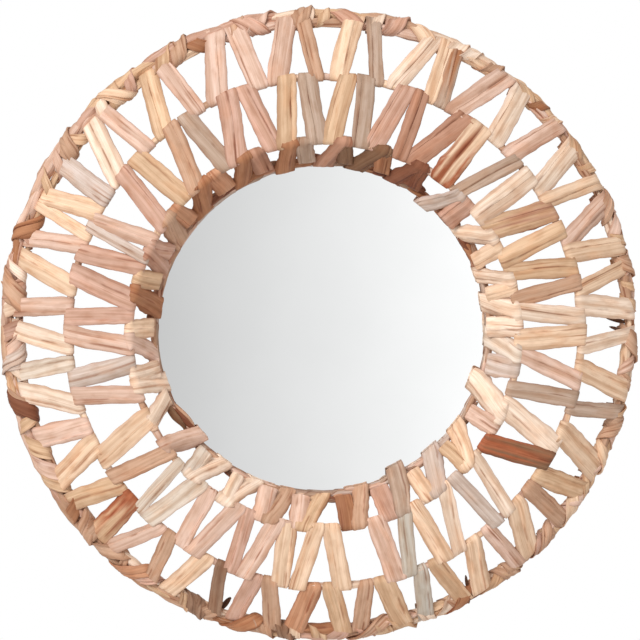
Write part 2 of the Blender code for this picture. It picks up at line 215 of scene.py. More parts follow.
# The fold down a blank: its place across each blank, the step up at it, and the dip beside it
BLANK_FOLDS = (-0.24, -0.12, 0.04, 0.17, 0.29)
FOLD_STEP = 0.0004
FOLD_DIP = 0.0002

# How a strip goes round a ring: the share of its rows on each fold, how far it turns, the share of
# its thickness that it keeps, and how far it stands off the ring
FOLD_SHARE = 0.3
FOLD_TURN = math.radians(205.0)
FOLD_PINCH = 0.4
FOLD_STAND = 0.0004

# The strips are this much wider than their widths above, their ends narrow over this length, and
# every other strip lies this much higher than its neighbours
WIDER = 1.02
END_LENGTH = 0.019
LAP_LIFT = 0.0005

# How uneven a strip is: how much, and how many waves a metre
WIDTH_SWELL = (0.12, 40.0)
WIDTH_NICKS = (0.08, 130.0)
FOLD_WANDER = (0.0030, 16.0)
SWAY = (0.0012, 12.0)
LEAN = (0.14, 16.0)
WRINKLE = (0.0004, 160.0)
STREAKS = (1.7, 60.0)

# Rolls of leaf: sides and rows, the angles of the grooves down them, half a groove's width, the
# share of its thickness that a roll has there, and how uneven it is, as for a strip
ROLL_SIDES = 12
ROLL_ROWS = 26
GROOVES = (30.0, 150.0, 240.0)
GROOVE_HALF = 14.0
GROOVE_SHARE = 0.80
ROLL_SWELL = (0.24, 90.0)
ROLL_LUMPS = (0.10, 90.0)
ROLL_SWING = (0.3, 40.0)

# The rim's tones, and how often each is drawn for the back rolls, the front rolls and the wraps
RIM_TONES = (CHESTNUT, RUSSET, ROSE, TAN, SAND, PINK, CREAM, HONEY)
BACK_SHARES = (1, 3, 4, 5, 5, 4, 2, 1)
FRONT_SHARES = (0, 1, 3, 4, 5, 5, 3, 2)
WRAP_SHARES = (0, 1, 3, 6, 6, 5, 4, 1)

# Wound rings: segments round, sides, and the length of ring that one turn of the winding covers
WOUND_SEGMENTS = 250
WOUND_SIDES = 14
WINDING_PITCH = 0.026

# How uneven a winding is: how much, how many waves a metre along it, and how many round it
WINDING_SWELL = (0.34, 70.0, 0.6)
WINDING_LUMPS = (0.12, 30.0, 5.0)

# Nothing comes nearer the wall than this
WALL_GAP = 0.0003

# The surroundings: how bright they are, and what the glass shows of them, from one share of a
# direction to the right to another, and from one brightness to another
ROOM_STRENGTH = 0.60
ROOM_FADE = (0.02, 0.18, 0.54, 1.13)

# The floor, the light and the camera
FLOOR_RADIUS = 0.75
FLOOR_PLACE = (0.0, -0.2, -0.66)
KEY_PLACE = Vector((-1.7, -2.6, 1.9))
KEY_SIZE = 1.6
KEY_POWER = 94.0
AIM = Vector((-0.0037, -0.0092, CENTRE.z + 0.0097))
AZIMUTH = math.radians(-6.0)
ELEVATION = math.radians(8.5)
DISTANCE = 2.5
LENS = 147.6


def srgb(red, green, blue):
    """A colour given as it shows on a screen, from 0 to 255."""
    def linear(value):
        value /= 255.0
        return value / 12.92 if value <= 0.04045 else ((value + 0.055) / 1.055) ** 2.4
    return (linear(red), linear(green), linear(blue), 1.0)


def turned(ring, seen):
    """The angle on a ring of a point that the photograph shows at an angle about its middle."""
    turn = math.radians(seen)
    return seen + TWIST - ring.seen_right * math.cos(turn) - ring.seen_down * math.sin(turn)


def on_ring(ring, angle, outward=0.0, forward=0.0):
    """The point at an angle on a ring, so far outward and forward from the middle of its strand."""
    turn = math.radians(angle)
    across = (ring.radius + outward) * math.sin(turn)
    up = (ring.radius + outward) * math.cos(turn)
    stretch = ring.longer * (up - across) / 2.0
    return CENTRE + Vector((ring.right + across - stretch, -ring.depth - forward,
                            ring.up + up + stretch))


def towards(angle, outward, forward):
    """A direction at an angle round the mirror, from its share outward and its share forward."""
    turn = math.radians(angle)
    return Vector((outward * math.sin(turn), -forward, outward * math.cos(turn)))


def select(*pieces):
    """Selects these pieces and no others, and makes the first the active one."""
    bpy.ops.object.select_all(action="DESELECT")
    for piece in pieces:
        piece.select_set(True)
    if pieces:
        bpy.context.view_layer.objects.active = pieces[0]


def edit(piece, picked, step):
    """Picks vertices of a piece by their place, and runs an edit-mode step on them."""
    select(piece)
    bpy.ops.object.mode_set(mode="EDIT")
    bpy.ops.mesh.select_mode(type="VERT")
    bpy.ops.mesh.select_all(action="DESELECT")
    bpy.ops.object.mode_set(mode="OBJECT")
    for vertex in piece.data.vertices:
        vertex.select = picked(vertex.co)
    bpy.ops.object.mode_set(mode="EDIT")
    step()
    bpy.ops.object.mode_set(mode="OBJECT")


def shift(piece, picked, *way):
    """Moves the picked vertices of a piece."""
    edit(piece, picked, lambda: bpy.ops.transform.translate(value=way))


def apply_modifiers(piece):
    """Applies every modifier of a piece."""
    select(piece)
    for modifier in list(piece.modifiers):
        bpy.ops.object.modifier_apply(modifier=modifier.name)


def point_numbers(mesh, *names):
    """Gives a mesh a number for each point, under each name."""
    for name in names:
        mesh.attributes.new(name, "FLOAT", "POINT")
    return [mesh.attributes[name] for name in names]


def charted(mesh):
    """Gives a mesh a tone for each point and a map of the leaf's surface."""
    mesh.attributes.new("tone", "FLOAT_VECTOR", "POINT")
    if not mesh.uv_layers:
        mesh.uv_layers.new()
    mesh.uv_layers[0].name = "leaf"
    return mesh.attributes["tone"], mesh.uv_layers["leaf"]


def leaf_blank(fold, grid):
    """A flat folded leaf, one unit long, with a step down its length at the fold."""
    select()
    columns, rows = grid
    bpy.ops.mesh.primitive_grid_add(
        x_subdivisions=columns, y_subdivisions=rows, size=1.0, location=(0.0, 0.5, 0.0))
    blank = bpy.context.object
    bpy.ops.object.transform_apply(location=True)
    column = 1.0 / columns
    low = math.floor((fold + 0.5) / column) * column - 0.5
    high = low + column
    shift(blank, lambda co: co.x > high - 0.01, 0.0, 0.0, FOLD_STEP)
    shift(blank, lambda co: abs(co.x - low) < 0.01, 0.40 * column, 0.0, -FOLD_DIP)
    shift(blank, lambda co: abs(co.x - high) < 0.01, -0.30 * column, 0.0, 0.0)
    edit(blank, lambda co: True, lambda: bpy.ops.transform.resize(value=(STRIP_WIDTH, 1.0, 1.0)))
    shell = blank.modifiers.new("thickness", "SOLIDIFY")
    shell.thickness = LEAF_THICKNESS
    shell.offset = 0.0
    rounding = blank.modifiers.new("rounding", "BEVEL")
    rounding.width = LEAF_EDGE_ROUND
    rounding.segments = 2
    rounding.limit_method = "ANGLE"
    rounding.angle_limit = math.radians(70.0)
    apply_modifiers(blank)
    mark_leaf(blank, (low + high) / 2.0)
    return blank


def mark_leaf(blank, fold):
    """Marks how near each point of a blank is to the fold line and to the edge, for a dark fold that is
    partly painted shade and for painted shade along the sides, and which side of the fold it is on.
    """
    fold_line_and_shade, edge, flap = point_numbers(blank.data, "fold_line_and_shade", "edge", "flap")
    for index, vertex in enumerate(blank.data.vertices):
        across = vertex.co.x / STRIP_WIDTH
        fold_line_and_shade.data[index].value = max(0.0, 1.0 - abs(across - fold) / 0.07)
        edge.data[index].value = min(1.0, 2.0 * abs(across))
        flap.data[index].value = 1.0 if across > fold else 0.0


def roll_blank():
    """A spindle one unit long and two across the middle, with three grooves down it."""
    select()
    bpy.ops.mesh.primitive_uv_sphere_add(segments=ROLL_SIDES, ring_count=ROLL_ROWS, radius=1.0)
    blank = bpy.context.object
    edit(blank, lambda co: True,
         lambda: bpy.ops.transform.rotate(value=math.pi / 2.0, orient_axis="X",
                                          center_override=(0.0, 0.0, 0.0)))
    fold_line_and_shade = point_numbers(blank.data, "edge", "flap", "fold_line_and_shade")[2]
    for index, vertex in enumerate(blank.data.vertices):
        reach = math.hypot(vertex.co.x, vertex.co.z)
        around = math.degrees(math.atan2(vertex.co.z, vertex.co.x)) % 360.0
        groove = min(abs(around - place) for place in GROOVES) < GROOVE_HALF
        blunt = math.sqrt(reach) * (GROOVE_SHARE if groove else 1.0) / max(reach, 1e-6)
        vertex.co.x *= blunt
        vertex.co.z *= blunt
        vertex.co.y = 0.5 + math.asin(max(-1.0, min(1.0, vertex.co.y))) / math.pi
        # The grooves are marked for darkening: painted shade in them
        fold_line_and_shade.data[index].value = 1.0 if groove else 0.0
    return blank


Frame = namedtuple("Frame", "place across normal")


def framed(spot, along):
    """The place on a path, and the leaf's across and outward directions there."""
    place, outward = spot(along)
    step = 0.004
    ahead = spot(min(1.0, along + step))[0]
    behind = spot(max(0.0, along - step))[0]
    forward = (ahead - behind).normalized()
    across = forward.cross(outward).normalized()
    return Frame(place, across, across.cross(forward))


def row_frames(mesh, spot):
    """The frame at each row of a blank's points, laid along a path."""
    rows = sorted({round(vertex.co.y, 5) for vertex in mesh.vertices})
    return {row: framed(spot, min(1.0, max(0.0, row))) for row in rows}


def rough(wave, seed, x, y, z):
    """Smooth noise at a place, as high as the wave is strong."""
    strength, scale = wave
    return strength * noise.noise(Vector((x * scale, y * scale, z * scale + seed)))


def map_corner(seed):
    """Where on the endless map of the leaf a piece begins."""
    return seed * 0.37 % 1.0, seed * 0.73 % 1.0


def map_tube(mesh, leaf_map, chart, girth, whole, corner=(0.0, 0.0)):
    """Maps the faces of a tube, each on one side of the seams across and along it."""
    for face in mesh.polygons:
        first = chart[mesh.loops[face.loop_start].vertex_index]
        for loop in face.loop_indices:
            across, along = chart[mesh.loops[loop].vertex_index]
            across += girth * round((first[0] - across) / girth)
            along += whole * round((first[1] - along) / whole)
            leaf_map.data[loop].uv = (across + corner[0], along + corner[1])


def linked(name, mesh):
    """A new piece in the scene."""
    piece = bpy.data.objects.new(name, mesh)
    bpy.context.collection.objects.link(piece)
    return piece


# A leaf's tone, how much lighter it is, its width and thickness as shares of the blank's, its curl
# across, its seed, how much lighter it is at its foot and past its fold, how uneven it is, the share
# of its width at its ends, how much wider it is at its foot, and the share of its thickness on folds
Leaf = namedtuple("Leaf", "tone light width thick curl seed fade flap uneven taper flare pinch",
                  defaults=(0.0, 1.0, 1.0, 0.0, 0.0, 0.0, 0.0, 1.0, 0.6, 0.0, 1.0))


def dyed(tone, share, lighter):
    """A leaf's colour at a share along it, made lighter or darker, as light values."""
    first, last = tone if isinstance(tone[0], tuple) else (tone, tone)
    return Vector(srgb(*first)[:3]).lerp(Vector(srgb(*last)[:3]), share) * (1.0 + lighter)


def laid(blank, spot, leaf):
    """A copy of a blank laid along a path, with the leaf's own tone, width, curl and unevenness."""
    mesh = blank.data.copy()
    seed = leaf.seed
    frames = row_frames(mesh, spot)
    rows = list(frames)
    lengths = {rows[0]: 0.0}
    for before, row in zip(rows, rows[1:]):
        lengths[row] = lengths[before] + (frames[row].place - frames[before].place).length
    total = lengths[rows[-1]]
    tones, leaf_map = charted(mesh)
    chart = []
    flap = mesh.attributes["flap"]
    for index, vertex in enumerate(mesh.vertices):
        row = round(vertex.co.y, 5)
        here = frames[row]
        along = lengths[row]
        ends = min(1.0, min(along, total - along) / END_LENGTH)
        ends = ends * ends * (3.0 - 2.0 * ends)
        middle = 2.0 * row - 1.0
        side = math.copysign(1.0, vertex.co.x)
        spread = leaf.width * (leaf.taper + (1.0 - leaf.taper) * ends)
        spread *= 1.0 + leaf.uneven * rough(WIDTH_SWELL, seed, along, side, 0.0)
        spread *= 1.0 + leaf.uneven * rough(WIDTH_NICKS, seed, along, side, 4.0)
        spread *= 1.0 + leaf.flare * middle
        x = vertex.co.x * spread
        wander = leaf.uneven * rough(FOLD_WANDER, seed, along, 1.0, 0.0)
        sway = leaf.uneven * rough(SWAY, seed, along, 2.0, 0.0)
        lean = leaf.uneven * rough(LEAN, seed, along, 3.0, 0.0)
        inside = 1.0 - min(1.0, abs(2.0 * vertex.co.x / STRIP_WIDTH)) ** 2
        chart.append((x, along))
        x += wander * inside + sway
        # The leaf is pinched flat on its folds
        folded = min(1.0, max(0.0, (abs(middle) - 0.34) / 0.1))
        loose = 1.0 - folded * (1.0 - leaf.pinch)
        z = vertex.co.z * leaf.thick * loose + loose ** 2 * (lean * x - 0.5 * leaf.curl * x * x)
        z += loose * leaf.uneven * rough(WRINKLE, seed, x * 2.4, along * 0.35, 0.0)
        vertex.co = here.place + here.across * x + here.normal * z
        lighter = leaf.light + leaf.fade * middle + leaf.flap * (flap.data[index].value - 0.5)
        blend = 0.5 + 1.3 * middle + rough(STREAKS, seed, x * 7.0, along * 0.3, 5.0)
        tones.data[index].vector = dyed(leaf.tone, min(1.0, max(0.0, blend)), lighter)
    corner = map_corner(seed)
    for loop in mesh.loops:
        across, along = chart[loop.vertex_index]
        leaf_map.data[loop.index].uv = (across + corner[0], along + corner[1])
    return linked("leaf", mesh)


def strip_path(over, under, top, foot, lift_top=0.0, lift_foot=0.0):
    """A strip's path: round the back of one ring, over both fronts, and round the back of the next.

    The path takes a share along it, and gives a point and the leaf's outward direction.
    """
    reach_over = over.tube + FOLD_STAND + lift_top
    reach_under = under.tube + FOLD_STAND + lift_foot
    fall = Vector((over.radius - under.radius, over.depth - under.depth))
    length = fall.length
    fall.normalize()
    tilt = math.asin((reach_under - reach_over) / length)
    front = Vector((-fall.y, fall.x)) * math.cos(tilt) + fall * math.sin(tilt)
    contact = math.atan2(front.x, front.y)
    slope = (foot - top) / length
    start = on_ring(over, top, front.x * reach_over, front.y * reach_over)
    end = on_ring(under, foot, front.x * reach_under, front.y * reach_under)

    def spot(share):
        if FOLD_SHARE <= share <= 1.0 - FOLD_SHARE:
            q = (share - FOLD_SHARE) / (1.0 - 2.0 * FOLD_SHARE)
            return start.lerp(end, q), towards(top + (foot - top) * q, front.x, front.y)
        if share < FOLD_SHARE:
            arc = FOLD_TURN * (1.0 - share / FOLD_SHARE)
            ring, reach, turn, angle, way = over, reach_over, contact + arc, top, -1.0
        else:
            arc = FOLD_TURN * (share - 1.0 + FOLD_SHARE) / FOLD_SHARE
            ring, reach, turn, angle, way = under, reach_under, contact - arc, foot, 1.0
        angle += way * slope * 0.9 * reach * (1.0 - math.exp(-arc / 0.9))
        outward = (math.sin(turn), math.cos(turn))
        return (on_ring(ring, angle, reach * outward[0], reach * outward[1]),
                towards(angle, *outward))

    return spot


def joined(name, parts):
    """Joins pieces into one, with its place in its mesh and smooth faces."""
    select(*parts)
    bpy.ops.object.join()
    piece = bpy.context.object
    piece.name = name
    piece.data.name = name
    bpy.ops.object.shade_smooth_by_angle(angle=math.radians(50.0))
    return piece


def band(name, strips, over_at, under, blanks, top_lift, seed):
    """One zigzag band of leaf strips between two rings."""
    draw = random.Random(SEED + seed)
    parts = []
    for number, (foot, top, tone, width) in enumerate(strips):
        over = over_at(top)
        odd = number % 2
        path = strip_path(over, under, turned(over, top), turned(under, foot),
                          top_lift + LAP_LIFT * odd, LAP_LIFT * odd)
        parts.append(laid(draw.choice(blanks), path, drawn_leaf(draw, tone, width, seed + 3.1 * number)))
    return joined(name, parts)


def drawn_leaf(draw, tone, width, seed, uneven=1.0):
    """A leaf strip's own small differences."""
    return Leaf(tone, light=draw.uniform(-0.04, 0.04), width=width * WIDER, thick=draw.uniform(0.85, 1.15),
                curl=draw.uniform(14.0, 40.0), seed=seed, fade=draw.uniform(-0.06, 0.06),
                flap=draw.uniform(-0.14, 0.14), uneven=uneven, flare=draw.uniform(-0.08, 0.08),
                pinch=FOLD_PINCH)


def rim_at(angle):
    """What a strip is wrapped round at an angle of the rim: its front strand, or both strands."""
    return RIM_FRONT if FRONT_ONLY[0] < angle < FRONT_ONLY[1] else RIM_WHOLE


def inner_band(name, pairs, blanks, seed):
    """The short inner band: strips that lean to the left, each with its flap behind it."""
    draw = random.Random(SEED + seed)
    parts = []
    for number, (foot, top, tone, width, *further) in enumerate(pairs):
        flap = number % 2
        under = FLAP_RING if flap else INNER_RING
        under = under._replace(radius=under.radius - sum(further) - 0.0012)
        raised = 0.0002 if flap else 0.0009
        path = strip_path(THIRD_RING, under, turned(THIRD_RING, top) + 0.4, turned(under, foot),
                          0.0004 + raised, raised)
        leaf = drawn_leaf(draw, tone, width, seed + 3.1 * number, 1.7)
        leaf = leaf._replace(flare=0.0 if flap else draw.uniform(0.05, 0.25),
                             curl=draw.uniform(40.0, 100.0))
        parts.append(laid(draw.choice(blanks), path, leaf))
    return joined(name, parts)


def strand(blank, ring, start, end, offset, size, tone, seed, twist=1.2, cone=0.0, lighter=0.0):
    """A rolled leaf along a ring, from an offset outward and forward to the opposite one."""
    mesh = blank.data.copy()

    def spot(share):
        slant = 1.0 - 2.0 * share
        angle = start + (end - start) * share
        return (on_ring(ring, angle, offset[0] * slant, offset[1] * slant),
                towards(angle, 0.0, 1.0))

    frames = row_frames(mesh, spot)
    length = math.radians(end - start) * ring.radius
    tones, leaf_map = charted(mesh)
    colour = dyed(tone, 0.0, lighter)
    chart = []
    for index, vertex in enumerate(mesh.vertices):
        row = round(vertex.co.y, 5)
        here = frames[row]
        around = math.atan2(vertex.co.z, vertex.co.x)
        thick = size * math.hypot(vertex.co.x, vertex.co.z) * (1.0 - cone * (2.0 * row - 1.0))
        thick *= 1.0 + rough(ROLL_SWELL, seed, row * length, around * 0.006, 0.0)
        thick *= 1.0 + rough(ROLL_LUMPS, seed + 5.0, row * length * 0.5, around * 0.03, 0.0)
        turn = around + twist * row
        swing = size * rough(ROLL_SWING, seed, row * length, 2.0, 0.0)
        vertex.co = (here.place + here.across * (thick * math.cos(turn) + swing)
                     + here.normal * thick * math.sin(turn))
        tones.data[index].vector = colour
        chart.append((around * size, row * length))
    map_tube(mesh, leaf_map, chart, math.tau * size, length, map_corner(seed))
    return linked("strand", mesh)


def round_rim(angle, lean, first, last, lift):
    """A path round both strands of the rim, from one turn to another, where 0 is in front."""
    middle = on_ring(RIM_FRONT, angle).lerp(on_ring(RIM_BACK, angle), 0.55)
    gap = on_ring(RIM_BACK, angle) - on_ring(RIM_FRONT, angle)
    long_half = gap.length / 2.0 + RIM_FRONT.tube + lift - 0.0003
    short_half = RIM_BACK.tube + lift
    turn = math.radians(angle)
    side = Vector((math.cos(turn), 0.0, -math.sin(turn)))
    away = gap.normalized()
    front = side.cross(away)
    if front.y > 0.0:
        front.negate()

    def spot(share):
        around = math.radians(first + (last - first) * share)
        outward = front * math.cos(around) + away * math.sin(around)
        place = (middle + front * math.cos(around) * short_half
                 + away * math.sin(around) * long_half
                 + side * math.radians(lean * (share - 0.5)) * RIM_BACK.radius)
        return place, outward
    return spot


def bulk(angle):
    """How far an angle is on the upper left, from 1 there to -1 opposite."""
    return math.cos(math.radians(angle - 290.0))


def turn_rolls(draw, roll, number, start, end):
    """The rolls from one turn of the rim to the next: two at the back, one in front, and a tie."""
    back = RIM_BACK.tube * (1.0 + 0.08 * bulk(start))
    front = RIM_FRONT.tube * (1.0 - 0.10 * bulk(start))
    seed = 7.7 * number
    parts = []
    for ring, begin, stop, offset, size, shares, cone in (
            (RIM_BACK, start - 1.5, end + 4.0, (0.0018, -0.0010), back, BACK_SHARES, 0.22),
            (RIM_BACK, start - 8.0, start + 6.0, (-0.0012, 0.0008), back * 0.82, BACK_SHARES, 0.0),
            (RIM_FRONT, start - 1.5, end + 1.5, (0.0006, 0.0004), front * 1.06, FRONT_SHARES, 0.14)):
        seed += 1.3
        parts.append(strand(roll, ring, begin, stop, offset, size * draw.uniform(0.94, 1.10),
                            draw.choices(RIM_TONES, shares)[0], seed, draw.uniform(0.8, 2.2), cone,
                            draw.uniform(-0.08, 0.04)))
    parts.append(strand(roll, RIM_BACK, start - 1.4, start + 1.6, (0.0010, 0.0040), back * 0.36,
                        draw.choice((CHESTNUT, UMBER)), seed + 0.7))
    return parts


def turn_wraps(draw, blanks, number, start, end):
    """The slanting wraps of leaf round the rim from one of its turns to the next."""
    seed = 7.7 * number + 3.9
    parts = []
    place = start + draw.uniform(2.0, 3.5)
    while place < end - 2.0:
        path = round_rim(place, draw.choice((-1.0, 1.0)) * draw.uniform(4.0, 9.0), -160.0, 150.0,
                         draw.uniform(0.0002, 0.0009))
        leaf = Leaf(draw.choices(RIM_TONES, WRAP_SHARES)[0], light=draw.uniform(-0.06, 0.06),
                    width=draw.uniform(0.5, 0.95), thick=0.7, curl=draw.uniform(10.0, 40.0),
                    seed=seed + place, uneven=1.8, taper=0.5)
        parts.append(laid(draw.choice(blanks), path, leaf))
        place += draw.uniform(2.6, 5.0)
    return parts


def knot_wraps(draw, blanks, number, knot):
    """A knot's two wraps round the rim, one over the other."""
    seen, tone, size, lean = knot
    angle = turned(RIM_BACK, seen)
    parts = []
    # The wrap underneath is a little darker, as painted shade, and the one on top a little lighter, as
    # painted light
    for turn, lap_shade in ((0.0, -0.04), (1.0, 0.06)):
        path = round_rim(angle + 0.9 * turn, lean * (3.0 + 4.0 * turn) * size, -165.0, 150.0,
                         0.0012 + 0.0010 * turn)
        leaf = Leaf(tone, light=lap_shade + draw.uniform(-0.06, 0.04),
                    width=size * draw.uniform(0.6, 0.9), thick=1.1, curl=draw.uniform(20.0, 60.0),
                    seed=91.0 + number + 0.3 * turn, uneven=2.0, taper=0.35)
        parts.append(laid(draw.choice(blanks), path, leaf))
    return parts


def knot_end(roll, number, knot):
    """The short roll that sticks out of a knot."""
    seen, tone, size, lean = knot
    angle = turned(RIM_BACK, seen)
    return strand(roll, RIM_BACK, angle - 1.0, angle + 2.0 * lean, (-0.0070 * size, 0.0),
                  0.0016 * size, tone, 191.0 + number)


def make_stubs(roll):
    """Short leaf ends that hang behind the outer band, under the rim, in the brown of painted shade."""
    parts = []
    for number, (seen, reach, size) in enumerate(STUBS):
        angle = turned(RIM_FRONT, seen)
        ring = RIM_FRONT._replace(radius=RIM_FRONT.radius - reach / 2.0)
        parts.append(strand(roll, ring, angle - 0.6, angle + 0.6, (-reach / 2.0, 0.0), size, SHADE_BROWN,
                            301.0 + number))
    return parts


def make_rim(blanks, roll):
    """The rim: two layers of lapped rolls of leaf, and the wraps and knots round them."""
    draw = random.Random(SEED + 40)
    rolls = make_stubs(roll)
    wraps = []
    ends = RIM_TURNS[1:] + (RIM_TURNS[0] + 360.0,)
    for number, (first, last) in enumerate(zip(RIM_TURNS, ends)):
        start = turned(RIM_BACK, first)
        end = turned(RIM_BACK, last)
        rolls += turn_rolls(draw, roll, number, start, end)
        wraps += turn_wraps(draw, blanks, number, start, end)
    for number, knot in enumerate(RIM_KNOTS):
        wraps += knot_wraps(draw, blanks, number, knot)
        rolls.append(knot_end(roll, number, knot))
    pieces = [joined("rim_rolls", rolls), joined("rim_wraps", wraps)]
    for piece in pieces:
        for vertex in piece.data.vertices:
            vertex.co.y = min(vertex.co.y, -WALL_GAP)
    return pieces


def inner_rolls(draw, roll, number, strip, flap):
    """The rolls of leaf round the inner ring at a pair of strips, and dark rolls of painted shadow behind
    its flap.
    """
    start = turned(INNER_RING, strip[0])
    shaded = strip[0] > SHADED[0] or strip[0] < SHADED[1]
    # Where the ring is in shade its rolls take darker tones: painted shade
    tones = (CHESTNUT, UMBER, RUSSET, CLAY) if shaded else (TAN, PINK, GREY, CREAM)
    size = INNER_RING.tube * (1.7 if shaded else 0.9)
    parts = []
    for turn, outward, drop in ((0.0, 0.0010, 0.0), (1.0, -0.0006, 0.0),
                                (0.4, 0.0014, 0.0020), (1.4, 0.0014, 0.0020)):
        begin = start - 3.0 + 6.0 * turn + draw.uniform(-1.0, 1.0)
        lower = INNER_RING._replace(depth=INNER_RING.depth - drop)
        parts.append(strand(roll, lower, begin, begin + draw.uniform(11.0, 15.0),
                            (outward, 0.0), size * draw.uniform(0.8, 1.0), draw.choice(tones),
                            11.0 * number + turn, draw.uniform(1.0, 2.6), 0.15))
    # A small dark roll under the strips, and dark rolls behind the flap: painted shadow in the gaps
    parts.append(strand(roll, INNER_RING, start + 1.0, start + 6.5, (0.0026, 0.0010), size * 0.4,
                        draw.choice((SHADE_BROWN, CHESTNUT)), 11.0 * number + 7.0))
    behind = FLAP_RING._replace(depth=0.0205)
    start = turned(FLAP_RING, flap[0])
    for turn in range(2):
        parts.append(strand(roll, behind, start - 2.0, start + draw.uniform(4.0, 6.0),
                            (0.0036 * turn, 0.0), draw.uniform(0.0018, 0.0026) * (1.0 + 0.3 * shaded),
                            draw.choice((SHADE_BROWN, CHESTNUT, UMBER)), 11.0 * number + 8.0 + turn))
    return parts


def loose_end(roll, number, end):
    """A loose roll of leaf by the inner ring, further forward where it is further out."""
    first, last, far, near, size, tone = end
    middle = (far + near) / 2.0
    depth = max(INNER_RING.depth, INNER_RING.depth + 0.0005 + middle - INNER_RING.radius)
    ring = FLAP_RING._replace(radius=middle, depth=depth)
    return strand(roll, ring, turned(ring, first), turned(ring, last), ((far - near) / 2.0, 0.0),
                  size, tone, 401.0 + number, 2.0)


def make_inner_rope(roll):
    """Rolls of leaf round the inner ring: thick and dark with painted shade at the top, thin and pale
    elsewhere.
    """
    draw = random.Random(SEED + 60)
    parts = []
    for number, (strip, flap) in enumerate(zip(INNER_STRIPS[::2], INNER_STRIPS[1::2])):
        parts += inner_rolls(draw, roll, number, strip, flap)
    return parts + [loose_end(roll, number, end) for number, end in enumerate(LOOSE_ENDS)]


def wound_ring(name, ring, seed, tones, lumps):
    """A thin ring wound in leaf, with a low step where each turn of the winding laps the last, darker at
    the step and on the ring's inner side with painted shade.
    """
    draw = random.Random(SEED + seed)
    select()
    bpy.ops.mesh.primitive_torus_add(
        major_radius=ring.radius, minor_radius=ring.tube, major_segments=WOUND_SEGMENTS,
        minor_segments=WOUND_SIDES, location=(0.0, 0.0, 0.0), rotation=(math.pi / 2.0, 0.0, 0.0))
    piece = bpy.context.object
    piece.name = name
    bpy.ops.object.transform_apply(location=True, rotation=True)
    finer = piece.modifiers.new("finer", "SUBSURF")
    finer.levels = finer.render_levels = 1
    apply_modifiers(piece)
    mesh = piece.data
    turns = round(math.tau * ring.radius / WINDING_PITCH)
    picks = [dyed(draw.choice(tones), 0.0, draw.uniform(-0.06, 0.06)) for _ in range(turns + 1)]
    point_numbers(mesh, "fold_line_and_shade", "edge")
    tone, leaf_map = charted(mesh)
    fold_line_and_shade = mesh.attributes["fold_line_and_shade"]
    edge = mesh.attributes["edge"]
    chart = []
    for index, vertex in enumerate(mesh.vertices):
        angle = math.atan2(vertex.co.x, vertex.co.z) % math.tau
        flat = math.hypot(vertex.co.x, vertex.co.z)
        around = math.atan2(-vertex.co.y, flat - ring.radius)
        wind = angle / math.tau * turns + around / math.tau
        lap = wind % 1.0
        whirl = Vector((math.cos(angle), math.sin(angle), 0.0)) * ring.radius
        # Each turn of the winding grows thicker up to where the next one laps it
        size = ring.tube * (0.90 + 0.18 * lap)
        for strength, scale, turn in (WINDING_SWELL, WINDING_LUMPS):
            size *= 1.0 + strength * noise.noise(
                whirl * scale + Vector((0.0, 0.0, around * turn + seed)))
        shift = lumps * noise.noise(whirl * 24.0 + Vector((0.0, 0.0, seed + 9.0)))
        tone.data[index].vector = picks[int(wind) % turns]
        # Painted shade: darker at each lap's step and on the ring's inner side
        fold_line_and_shade.data[index].value = 1.0 if lap > 0.92 or lap < 0.04 else 0.0
        edge.data[index].value = max(0.0, -math.cos(around)) ** 0.5
        chart.append((around * ring.tube, angle * ring.radius))
        vertex.co = on_ring(ring, math.degrees(angle), size * math.cos(around) + shift,
                            size * math.sin(around))
    map_tube(mesh, leaf_map, chart, math.tau * ring.tube, math.tau * ring.radius)
    for face in mesh.polygons:
        face.use_smooth = True
    return piece


